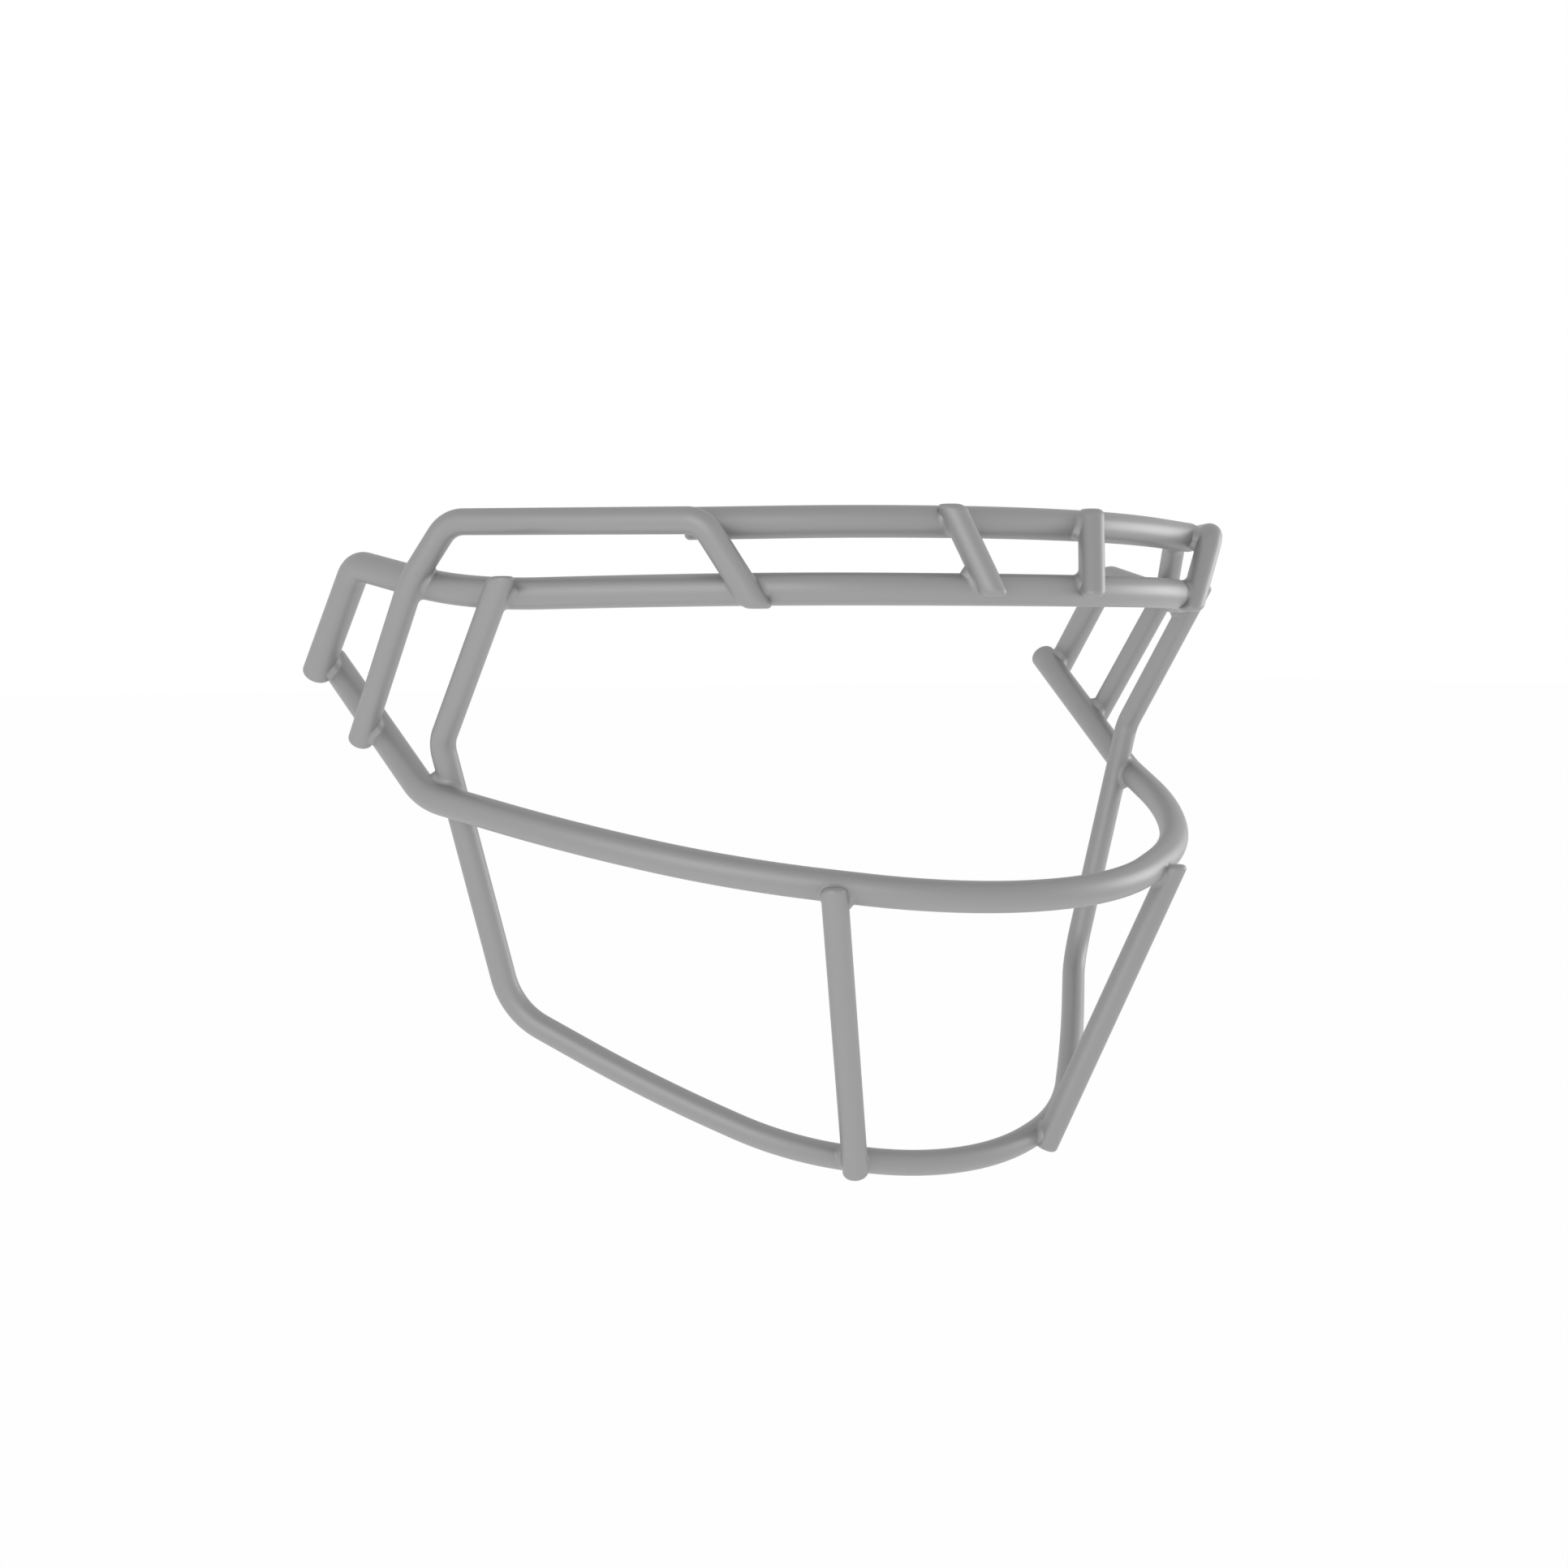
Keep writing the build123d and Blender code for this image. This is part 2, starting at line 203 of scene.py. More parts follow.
class FacemaskStage(bpy.types.PropertyGroup):
    """Camera, lamps and floor."""

    camera_place: spot("Camera place", (-0.3388, -0.4253, -0.0094), "Where the camera stands")
    camera_target: spot("Camera target", (-0.0012, 0.0992, -0.0481), "The point that it looks at")
    lens: FloatProperty(
        name="Lens", description="Focal length on a 36 mm wide sensor", default=55.96, min=1, unit="CAMERA"
    )
    key_place: spot("Key place", (-1.15, -0.75, 0.25), "Where the lamp at the near side stands")
    key_size: length("Key size", 1300, "Width of the lamp at the near side")
    key_power: watts("Key power", 6, "Power of the lamp at the near side")
    fill_place: spot("Fill place", (1.1, -0.1, 0.1), "Where the lamp at the far side stands")
    fill_size: length("Fill size", 600, "Width of the lamp at the far side")
    fill_power: watts("Fill power", 3.5, "Power of the lamp at the far side")
    surroundings: share("Surroundings", 0.3, "Level of the light from all round")
    floor_size: length("Floor size", 9000, "Width of the floor")
    floor_glow: share("Floor glow", 0.985, "How much of the floor is its own light, without shadows")
    floor_tone: share("Floor tone", 0.9, "How pale the rest of the floor is")


SETTINGS = {
    "facemask_wire": FacemaskWire,
    "facemask_brow": FacemaskBrow,
    "facemask_jaw": FacemaskJaw,
    "facemask_guards": FacemaskGuards,
    "facemask_finish": FacemaskFinish,
    "facemask_stage": FacemaskStage,
}


# Centre lines

# Distances between the points of a route, for the bars' surfaces and for finding places.
BODY_STEP = 0.0011
FINE_STEP = 0.0001

# The most that a route turns from one point to the next, in radians.
LARGEST_TURN = 0.06

# The share of a run that an arc may take. Two arcs on one run need less than a half each.
RUN_SHARE = 0.495


def unit(vector):
    return vector / np.linalg.norm(vector)


def bent(corners, radii, step, trims=(0.0, 0.0)):
    """A route's points and directions: straight runs, and at each corner an arc tangent to both runs.

    A point of an arc is its start plus the radius times (sin a times the run in, plus (1 - cos a)
    times the direction to the arc's centre), for a from nothing to the angle turned. A radius of
    None is as large as the two runs allow. The trims shorten the two ends.
    """
    runs = [unit(b - a) for a, b in zip(corners, corners[1:])]
    points, directions = [], []
    last = corners[0] + runs[0] * trims[0]
    for i, (corner, radius) in enumerate(zip(corners[1:-1], radii)):
        run_in, run_out = runs[i], runs[i + 1]
        half_turn = math.acos(max(-1.0, min(1.0, run_in @ run_out))) / 2
        if radius is None:
            shorter = min(np.linalg.norm(corner - corners[i]), np.linalg.norm(corners[i + 2] - corner))
            radius = RUN_SHARE * shorter / math.tan(half_turn)
        start = corner - run_in * radius * math.tan(half_turn)
        inward = unit(run_out - run_in * (run_in @ run_out))
        count = max(2, math.ceil(np.linalg.norm(start - last) / step))
        points.append(last + (start - last) * np.linspace(0, 1, count, endpoint=False)[:, None])
        directions.append(np.repeat(run_in[None], count, axis=0))
        count = max(4, math.ceil(2 * half_turn * radius / step), math.ceil(2 * half_turn / LARGEST_TURN))
        a = np.linspace(0, 2 * half_turn, count, endpoint=False)[:, None]
        points.append(start + radius * (np.sin(a) * run_in + (1 - np.cos(a)) * inward))
        directions.append(np.cos(a) * run_in + np.sin(a) * inward)
        last = corner + run_out * radius * math.tan(half_turn)
    end = corners[-1] - runs[-1] * trims[1]
    count = max(2, math.ceil(np.linalg.norm(end - last) / step))
    points.append(last + (end - last) * np.linspace(0, 1, count)[:, None])
    directions.append(np.repeat(runs[-1][None], count, axis=0))
    return np.concatenate(points), np.concatenate(directions)


class Bar:
    """A bent bar: its corners, bend radii, rod, the direction that its rings hang from, and its ends.

    An end is the way out of a level cut, or None where the cut is square.
    """

    def __init__(self, corners, radii, rod, reference, ends=(None, None)):
        self.corners = np.array(corners)
        self.radii = radii
        self.rod = rod
        self.reference = reference
        self.ends = ends
        self.line = self.route(FINE_STEP)

    def route(self, step, trims=(0.0, 0.0)):
        """The points and directions of its centre line, as bent gives them."""
        return bent(self.corners, self.radii, step, trims)

    def mirrored(self):
        """The same bar on the right side."""
        return Bar(self.corners * TO_RIGHT_SIDE, self.radii, self.rod, self.reference, self.ends)

    def coated_radius(self, wire):
        return self.rod / 2 + wire.coat

    def cuts(self, wire):
        """For both ends: the way along the bar, the way out of the cut, their cosine and the rounding."""
        made = []
        for end, before, way_out in zip(self.corners[[0, -1]], self.corners[[1, -2]], self.ends):
            line = unit(end - before)
            if way_out is None:
                made.append((line, line, 1.0, wire.end_rounding))
            else:
                made.append((line, way_out, line @ way_out, wire.cut_rounding))
        return made


def both_sides(corners):
    """The corners of the left half followed by their mirror images."""
    corners = np.array(corners)
    return np.concatenate([corners, corners[::-1] * TO_RIGHT_SIDE])


def both_bends(corners, outer):
    """The radii of a bar with two like halves: the outer bends, the widest arcs, the outer bends."""
    return outer + [None] * (len(corners) - 2 - 2 * len(outer)) + outer[::-1]


def arc_corners(shares, half_width, front, depth, level, rise):
    """Corners from shares of a half width, of a depth behind the front, and of a rise over the level."""
    return list(np.array([0, front, level]) + np.array(shares) * np.array([half_width, depth, rise]))


def found(route, axis, value):
    """The first place on a route where one coordinate has a value: its point and direction."""
    points, directions = route
    offset = points[:, axis] - value
    i = np.flatnonzero(offset[:-1] * offset[1:] <= 0)[0]
    part = offset[i] / (offset[i] - offset[i + 1])
    point = points[i] + (points[i + 1] - points[i]) * part
    return point, unit(directions[i] + (directions[i + 1] - directions[i]) * part)


def centre_distance(rod, other_rod, wire):
    """How far apart the centres of two welded rods are: half of each, less what they sink in."""
    return (rod + other_rod) / 2 - wire.weld_sink


def beside(place, direction, towards, rod, other_rod, wire):
    """The centre of a rod that is welded across another, on the side that faces a direction."""
    point, tangent = place
    normal = unit(np.cross(tangent, direction))
    if normal @ towards < 0:
        normal = -normal
    return point + normal * centre_distance(rod, other_rod, wire)


def at_level(seat, line, level):
    """The point at a level on the line through a seat."""
    return seat + line * ((level - seat[Z]) / line[Z])


def brow_bars(wire, brow):
    """The lower brow bar, with a leg at each ear, and the upper one."""
    shares = [(0.92, 0.633, 1), (0.708, 0.379, 0.342), (0.484, 0.118, 0), (0.174, 0, 0)]
    ear = np.array([brow.half_width, brow.depth, brow.ear_rise])
    leg_end = ear + np.array([brow.leg_splay, brow.leg_back, -brow.leg_drop])
    lower_arc = arc_corners(shares, brow.half_width, 0, brow.depth, 0, -brow.dip)
    lower = both_sides([leg_end, ear] + lower_arc)

    shares = [(1, 1, 1), (0.584, 0.359, 0.215), (0.204, 0, 0)]
    upper = both_sides(arc_corners(
        shares, brow.upper_half_width, brow.upper_setback, brow.upper_depth, brow.spacing,
        -brow.upper_droop,
    ))
    return (
        Bar(lower, both_bends(lower, [wire.thick_bend]), wire.thick_rod, UP),
        Bar(upper, both_bends(upper, []), wire.thick_rod, UP),
    )


def jaw_bar(wire, jaw, lower_brow):
    """The jaw bar, which passes inside both legs of the lower brow bar, and its left weld."""
    shares = [(1, 1, 1), (0.83, 0.606, 0.61), (0.599, 0.282, 0.273), (0.208, 0, 0)]
    jaw_depth, jaw_rise = jaw.bend_back + jaw.lead, jaw.front_drop - jaw.bend_drop
    jaw_arc = arc_corners(shares, jaw.half_width, -jaw.lead, jaw_depth, -jaw.front_drop, jaw_rise)
    leg_end, ear = lower_brow.corners[:2]
    leg_line = unit(leg_end - ear)
    leg_seat = leg_end - leg_line * jaw.leg_below
    leg_place = leg_seat, leg_line
    jaw_seat = beside(leg_place, leg_seat - jaw_arc[0], RIGHT, lower_brow.rod, wire.thick_rod, wire)
    jaw_end = jaw_seat + unit(jaw_seat - jaw_arc[0]) * jaw.behind_leg
    corners = both_sides([jaw_end] + jaw_arc)
    bar = Bar(corners, both_bends(corners, [wire.jaw_bend]), wire.thick_rod, UP)
    return bar, [("leg_jaw", "lower_brow", "jaw", leg_seat, jaw_seat)]


def chin_loop(wire, jaw, lower_brow, jaw_piece):
    """The chin loop, outside the lower brow bar and inside the jaw bar, and its left welds."""
    shares = [(1, 1, 1), (0.74, 0.573, 0.52), (0.468, 0.172, 0.137), (0.149, 0, 0)]
    depth, rise = jaw.chin_back - jaw.chin_front, jaw.chin_drop - jaw.chin_corner_drop
    chin_arc = arc_corners(shares, jaw.chin_half_width, jaw.chin_front, depth, -jaw.chin_drop, rise)
    jaw_place = found(jaw_piece.line, Y, jaw.loop_jaw_back)
    at_jaw = beside(jaw_place, jaw_place[0] - chin_arc[0], RIGHT, jaw_piece.rod, wire.thin_rod, wire)
    knee = at_level(at_jaw, at_jaw - chin_arc[0], -jaw.knee_drop)
    brow_place = found(lower_brow.line, Y, jaw.loop_top_back)
    at_brow = beside(brow_place, brow_place[0] - knee, LEFT, lower_brow.rod, wire.thin_rod, wire)
    end = at_level(at_brow, unit(at_brow - knee), brow_place[0][Z] + jaw.loop_above)
    corners = both_sides([end, knee] + chin_arc)
    radii = both_bends(corners, [wire.thin_bend, wire.chin_bend])
    return Bar(corners, radii, wire.thin_rod, BACK, (UP, UP)), [
        ("loop_brow", "lower_brow", "chin_loop", brow_place[0], at_brow),
        ("loop_jaw", "jaw", "chin_loop", jaw_place[0], at_jaw),
    ]


def side_guard(wire, side, lower_brow, upper_brow, jaw_piece):
    """The left guard and its welds: up outside the jaw and brow bars, forward, and down in front.

    Its top run passes beside the upper bar's tip. The way out from the tip depends on that run's own
    direction, so both are found by turns until they agree.
    """
    turns = 40
    jaw_place = found(jaw_piece.line, Y, side.jaw_back)
    rear_place = found(lower_brow.line, Y, side.brow_back)
    rise = rear_place[0] - jaw_place[0]
    at_jaw = beside(jaw_place, rise, LEFT, jaw_piece.rod, wire.thin_rod, wire)
    at_rear = beside(rear_place, rise, LEFT, lower_brow.rod, wire.thin_rod, wire)
    rise_line = unit(at_rear - at_jaw)
    top = np.array([side.top_half_width, side.top_back, side.top_height])
    tip = upper_brow.corners[0]
    beside_tip = tip
    apart = centre_distance(upper_brow.rod, wire.thin_rod, wire)
    for _ in range(turns):
        top_line = unit(beside_tip - top)
        outward = -unit(np.cross(top_line, UP))
        beside_tip = tip + outward * apart + UP * side.front_lift
    front = beside_tip + top_line * side.front_lead
    low_place = found(lower_brow.line, X, side.low_half_width)
    at_low = beside(low_place, front - low_place[0], FORWARD, lower_brow.rod, wire.thin_rod, wire)
    low_end = at_level(at_low, unit(at_low - front), low_place[0][Z] - side.below_brow)
    foot = at_jaw - rise_line * side.below_jaw
    knee = at_rear + rise_line * side.knee_lift
    radii = [wire.knee_bend, wire.thin_bend, wire.front_bend]
    guard = Bar([foot, knee, top, front, low_end], radii, wire.thin_rod, LEFT, (None, -UP))

    # A distance along a fine route is a count of its steps.
    upper_place = upper_brow.line[0][round(side.upper_inset / FINE_STEP)]
    nearest = np.linalg.norm(guard.line[0] - upper_place, axis=1).argmin()
    return guard, [
        ("guard_jaw", "jaw", "left_guard", jaw_place[0], at_jaw),
        ("guard_rear", "lower_brow", "left_guard", rear_place[0], at_rear),
        ("guard_upper", "upper_brow", "left_guard", upper_place, guard.line[0][nearest]),
        ("guard_lower", "lower_brow", "left_guard", low_place[0], at_low),
    ]


def crossing(upper, upper_x, lower, lower_x, wire):
    """A thin straight bar in front of two others: its line, and at both the point and the seat."""
    places = found(upper.line, X, upper_x), found(lower.line, X, lower_x)
    line = places[0][0] - places[1][0]
    top, low = (
        beside(place, line, FORWARD, bar.rod, wire.thin_rod, wire)
        for place, bar in zip(places, (upper, lower))
    )
    return unit(top - low), (places[0][0], top), (places[1][0], low)


def brow_strut(wire, side, lower_brow, upper_brow):
    """The left strut, in front of both brow bars and cut level at both ends, and its welds."""
    line, (upper_point, top), (lower_point, low) = crossing(
        upper_brow, side.strut_top, lower_brow, side.strut_low, wire
    )
    corners = [
        at_level(top, line, upper_point[Z] + side.strut_above),
        at_level(low, line, lower_point[Z] - side.strut_below),
    ]
    return Bar(corners, [], wire.thin_rod, BACK, (UP, -UP)), [
        ("strut_upper", "upper_brow", "left_strut", upper_point, top),
        ("strut_lower", "lower_brow", "left_strut", lower_point, low),
    ]


def chin_post(wire, side, jaw_piece, loop):
    """The left post, in front of the jaw bar and the chin loop, cut level at its top, and its welds."""
    line, (jaw_point, top), (chin_point, low) = crossing(
        jaw_piece, side.post_top, loop, side.post_low, wire
    )
    corners = [at_level(top, line, jaw_point[Z] + side.post_above), low - line * side.post_below]
    return Bar(corners, [], wire.thin_rod, BACK, (UP, None)), [
        ("post_jaw", "jaw", "left_post", jaw_point, top),
        ("post_chin", "chin_loop", "left_post", chin_point, low),
    ]


def cage(scene):
    """Every bar by name, and the left-hand welds.

    A weld is (name, bar that stays whole, bar welded on, a point on the first, and the second's
    centre there, which is the seat).
    """
    wire, side = scene.facemask_wire, scene.facemask_guards
    lower, upper = brow_bars(wire, scene.facemask_brow)
    jaw, leg_welds = jaw_bar(wire, scene.facemask_jaw, lower)
    loop, loop_welds = chin_loop(wire, scene.facemask_jaw, lower, jaw)
    guard, guard_welds = side_guard(wire, side, lower, upper, jaw)
    strut, strut_welds = brow_strut(wire, side, lower, upper)
    post, post_welds = chin_post(wire, side, jaw, loop)
    bars = {"lower_brow": lower, "upper_brow": upper, "jaw": jaw, "chin_loop": loop}
    for name, bar in (("guard", guard), ("strut", strut), ("post", post)):
        bars[f"left_{name}"] = bar
        bars[f"right_{name}"] = bar.mirrored()
    return bars, leg_welds + guard_welds + strut_welds + loop_welds + post_welds


# Surfaces

# Faces that meet at a sharper angle than this are not shaded as one.
SHARP_ANGLE = math.radians(50)


def mesh_object(name, vertices, faces):
    """A closed mesh from arrays, turned outwards: its faces' signed volume is made positive."""
    mesh = bpy.data.meshes.new(name)
    mesh.from_pydata(vertices.tolist(), [], faces)
    mesh.update()
    corners = np.array([list(face[:3]) for face in faces])
    a, b, c = (vertices[corners[:, k]] - vertices.mean(0) for k in range(3))
    if np.einsum("ij,ij->i", a, np.cross(b, c)).sum() < 0:
        mesh.flip_normals()
    mesh.shade_smooth()
    mesh.set_sharp_from_angle(angle=SHARP_ANGLE)
    piece = bpy.data.objects.new(name, mesh)
    bpy.context.scene.collection.objects.link(piece)
    return piece


def grid_faces(rows, columns, closed_rows):
    """The quads of a grid whose columns close on themselves, and whose rows do if asked."""
    first_rows = np.arange(rows if closed_rows else rows - 1)
    i, j = np.meshgrid(first_rows, np.arange(columns), indexing="ij")
    below, beyond = (i + 1) % rows, (j + 1) % columns
    corners = [i * columns + j, i * columns + beyond, below * columns + beyond, below * columns + j]
    return np.stack(corners, -1).reshape(-1, 4).tolist()


# Points round a bar and over an end's rounding, and the gap from there to the body's first ring.
BAR_SIDES = 56
ROUNDING_RINGS = 9
END_GAP = 0.0001


def rounded_bar(name, bar, wire):
    """A bar along its route: centre + r(u) * (cos v * side + sin v * lift).

    Between the ends r is the bar's radius. At an end, r = radius - rounding + rounding * sin a, and
    each point slides along the bar to lie rounding * (1 - cos a) inside the plane of the cut. Across
    the flat face r shrinks to a point.
    """
    radius = bar.coated_radius(wire)
    cuts = bar.cuts(wire)
    trims = [
        (rounding + radius * math.sqrt(max(0.0, 1 - steep ** 2))) / steep + END_GAP
        for _, _, steep, rounding in cuts
    ]
    centres, directions = bar.route(BODY_STEP, trims)
    v = np.linspace(0, 2 * math.pi, BAR_SIDES, endpoint=False)
    across = np.cross(directions, bar.reference)
    across /= np.linalg.norm(across, axis=1)[:, None]
    lift = np.cross(across, directions)
    around = np.cos(v)[None, :, None] * across[:, None] + np.sin(v)[None, :, None] * lift[:, None]
    a = np.linspace(0, math.pi / 2, ROUNDING_RINGS)
    caps = []
    for point, circle, cut in zip(bar.corners[[0, -1]], around[[0, -1]], cuts):
        line, way_out, steep, rounding = cut
        r = radius - rounding + rounding * np.sin(a)
        r = np.append(r[0] / 2, r)[:, None, None]
        inside = np.append(0, rounding * (1 - np.cos(a)))[:, None]
        slide = (-inside - (r * circle) @ way_out) / steep
        caps.append(point + r * circle + slide[..., None] * line)
    body = centres[:, None] + radius * around
    rings = np.concatenate([caps[0], body, caps[1][::-1]])
    faces = grid_faces(len(rings), BAR_SIDES, False)
    end = (len(rings) - 1) * BAR_SIDES
    pole = len(rings) * BAR_SIDES
    faces += [[pole, (j + 1) % BAR_SIDES, j] for j in range(BAR_SIDES)]
    faces += [[pole + 1, end + j, end + (j + 1) % BAR_SIDES] for j in range(BAR_SIDES)]
    vertices = np.concatenate([rings.reshape(-1, 3), bar.corners[:1], bar.corners[-1:]])
    return mesh_object(name, vertices, faces)


# How much of a route counts as close to a weld.
WELD_REACH = 0.022

# Directions round a weld, and points over a collar's hollow.
COLLAR_SPOKES = 96
HOLLOW_POINTS = 12

# The rolling ball: its first place out from the weld, the furthest one, the longest step, the least
# sine of the angle between the ways from both bars, and the smallest ball as a share of the largest.
BALL_START = 0.0045
BALL_LIMIT = 0.02
BALL_STEP = 0.001
LEAST_SPREAD = 0.05
SMALLEST_BALL = 0.08

# How often the ball's place is bettered at first, at each halving of its size, and at last.
FIRST_ROUNDS = 25
HALVINGS = 7
HALVING_ROUNDS = 6
LAST_ROUNDS = 12

# How many spokes the ball's size is smoothed over, and the least angle of a hollow, in radians.
SMOOTHED_SPOKES = 3.0
LEAST_OPENING = 0.01

# A collar's hidden lip: its width on the bar, its depth in the coat, and the depth of its root.
LIP_WIDTH = 0.0003
LIP_DEPTH = 0.00004
ROOT_DEPTH = 0.0005


def near(route, point):
    """The part of a route close to a point."""
    close = np.linalg.norm(route[0] - point, axis=1) < WELD_REACH
    return route[0][close], route[1][close]


def away_from(route, places):
    """Each place's distance from a route, and the unit vector from the route to it."""
    points, directions = route
    i = ((places[:, None] - points) ** 2).sum(2).argmin(1)
    away = places - points[i]
    between_ends = (i > 0) & (i < len(points) - 1)
    away = away - directions[i] * ((away * directions[i]).sum(1) * between_ends)[:, None]
    distance = np.linalg.norm(away, axis=1)
    return distance, away / distance[:, None]


def rolled_ball(routes, radii, point, normal, spokes, wire):
    """The centres and radii of a ball that rolls between two bars, and the ways to it from both.

    In the plane of each spoke and the weld's normal, the ball's centre is where its distance from
    each bar's centre line is that bar's radius plus its own, found by Newton's method. The ball
    shrinks, by halving, where it would touch a bar past the furthest reach, and its size is smoothed
    round the weld.
    """
    def roll(ball, out, over, rounds):
        for _ in range(rounds):
            places = point + spokes * out[:, None] + normal * over[:, None]
            (far_a, way_a), (far_b, way_b) = (away_from(route, places) for route in routes)
            miss_a, miss_b = far_a - radii[0] - ball, far_b - radii[1] - ball
            a_out, a_over = (way_a * spokes).sum(1), way_a @ normal
            b_out, b_over = (way_b * spokes).sum(1), way_b @ normal
            spread = a_out * b_over - a_over * b_out
            least = LEAST_SPREAD * np.where(spread < 0, -1, 1)
            spread = np.where(np.abs(spread) < LEAST_SPREAD, least, spread)
            out = out - np.clip((miss_a * b_over - miss_b * a_over) / spread, -BALL_STEP, BALL_STEP)
            over = over - np.clip((miss_b * a_out - miss_a * b_out) / spread, -BALL_STEP, BALL_STEP)
            out = np.clip(out, 0, BALL_LIMIT)
        return out, over, way_a, way_b

    count = len(spokes)
    small, large = np.full(count, SMALLEST_BALL * wire.collar), np.full(count, wire.collar)
    out, over, _, _ = roll(large, np.full(count, BALL_START), np.full(count, radii[0] / 2), FIRST_ROUNDS)
    for _ in range(HALVINGS):
        ball = (small + large) / 2
        out, over, _, _ = roll(ball, out, over, HALVING_ROUNDS)
        fits = out * radii[1] / (radii[1] + ball) < wire.collar_reach
        small, large = np.where(fits, ball, small), np.where(fits, large, ball)
    apart = np.minimum(np.arange(count), count - np.arange(count))
    smooth = np.exp(-((apart / SMOOTHED_SPOKES) ** 2))
    ball = np.fft.irfft(np.fft.rfft(small) * np.fft.rfft(smooth / smooth.sum()), count)
    out, over, way_a, way_b = roll(ball, out, over, LAST_ROUNDS)
    centres = point + spokes * out[:, None] + normal * over[:, None]
    return centres, ball[:, None], way_a, way_b


def collar(name, routes, radii, point, seat, wire):
    """The hollow fillet round a weld: the path of a ball that rolls in the groove between two bars.

    The surface is the ball's inner arc from bar to bar: the ball's centre less its radius times a
    direction turned evenly from one bar's to the other's. It has a hidden lip along each bar and a
    closed inside. A bar counts as round-ended where its route stops, so the ball rolls round the end.
    """
    steep = 0.8
    normal = unit(seat - point)
    first = unit(np.cross(normal, UP if abs(normal @ UP) < steep else LEFT))
    second = np.cross(normal, first)
    p = np.linspace(0, 2 * math.pi, COLLAR_SPOKES, endpoint=False)
    spokes = np.cos(p)[:, None] * first + np.sin(p)[:, None] * second
    centres, ball, way_a, way_b = rolled_ball(routes, radii, point, normal, spokes, wire)

    opening = np.arccos(np.clip((way_a * way_b).sum(1), -1, 1))[:, None]
    opening = np.maximum(opening, LEAST_OPENING)
    rows = []
    for t in np.linspace(0, 1, HOLLOW_POINTS):
        turned = np.sin((1 - t) * opening) * way_a + np.sin(t * opening) * way_b
        rows.append(centres - ball * turned / np.sin(opening))
    past_a = (way_b - way_a * np.cos(opening)) / np.sin(opening)
    past_b = (way_a - way_b * np.cos(opening)) / np.sin(opening)
    profile = np.stack([
        rows[0] - way_a * ROOT_DEPTH,
        rows[0] + past_a * LIP_WIDTH - way_a * (LIP_DEPTH + LIP_WIDTH ** 2 / radii[0]),
        *rows,
        rows[-1] + past_b * LIP_WIDTH - way_b * (LIP_DEPTH + LIP_WIDTH ** 2 / radii[1]),
        rows[-1] - way_b * ROOT_DEPTH,
    ])
    vertices = profile.transpose(1, 0, 2).reshape(-1, 3)
    return mesh_object(name, vertices, grid_faces(COLLAR_SPOKES, len(profile), True))


# Materials

class Socket:
    """A shader socket whose sums, differences and products add their Math nodes."""

    def __init__(self, shader, socket):
        self.shader = shader
        self.socket = socket

    def _with(self, operation, first, second):
        return self.shader.node("ShaderNodeMath", {"operation": operation}, {0: first, 1: second})

    def __add__(self, other):
        return self._with("ADD", self, other)

    def __radd__(self, other):
        return self._with("ADD", other, self)

    def __sub__(self, other):
        return self._with("SUBTRACT", self, other)

    def __rsub__(self, other):
        return self._with("SUBTRACT", other, self)

    def __mul__(self, other):
        return self._with("MULTIPLY", self, other)

    def __rmul__(self, other):
        return self._with("MULTIPLY", other, self)


class Shader:
    """A new material or world. One method adds a node of any type, and the others build on it."""

    # The Mix node's colour sockets share their names with others, so they go by number.
    MIX_FIRST, MIX_SECOND, MIX_COLOUR = 6, 7, 2

    def __init__(self, owner, output):
        owner.use_nodes = True
        self.tree = owner.node_tree
        self.tree.nodes.clear()
        self.output = self.tree.nodes.new(output)

    def node(self, kind, settings=None, inputs=None, output=0):
        made = self.tree.nodes.new(kind)
        for key, value in (settings or {}).items():
            setattr(made, key, value)
        for key, value in (inputs or {}).items():
            if isinstance(value, Socket):
                self.tree.links.new(value.socket, made.inputs[key])
            else:
                made.inputs[key].default_value = value
        return Socket(self, made.outputs[output])

    def finish(self, surface):
        self.tree.links.new(surface.socket, self.output.inputs["Surface"])

    def noise(self, place, scale, detail):
        """Soft noise of so many patches a metre."""
        return self.node("ShaderNodeTexNoise", {}, {"Vector": place, "Scale": scale, "Detail": detail})

    def blend(self, part, first, second):
        """A colour between two, by a part from 0 to 1."""
        colours = {"Factor": part, self.MIX_FIRST: (*first, 1), self.MIX_SECOND: (*second, 1)}
        return self.node("ShaderNodeMix", {"data_type": "RGBA"}, colours, output=self.MIX_COLOUR)


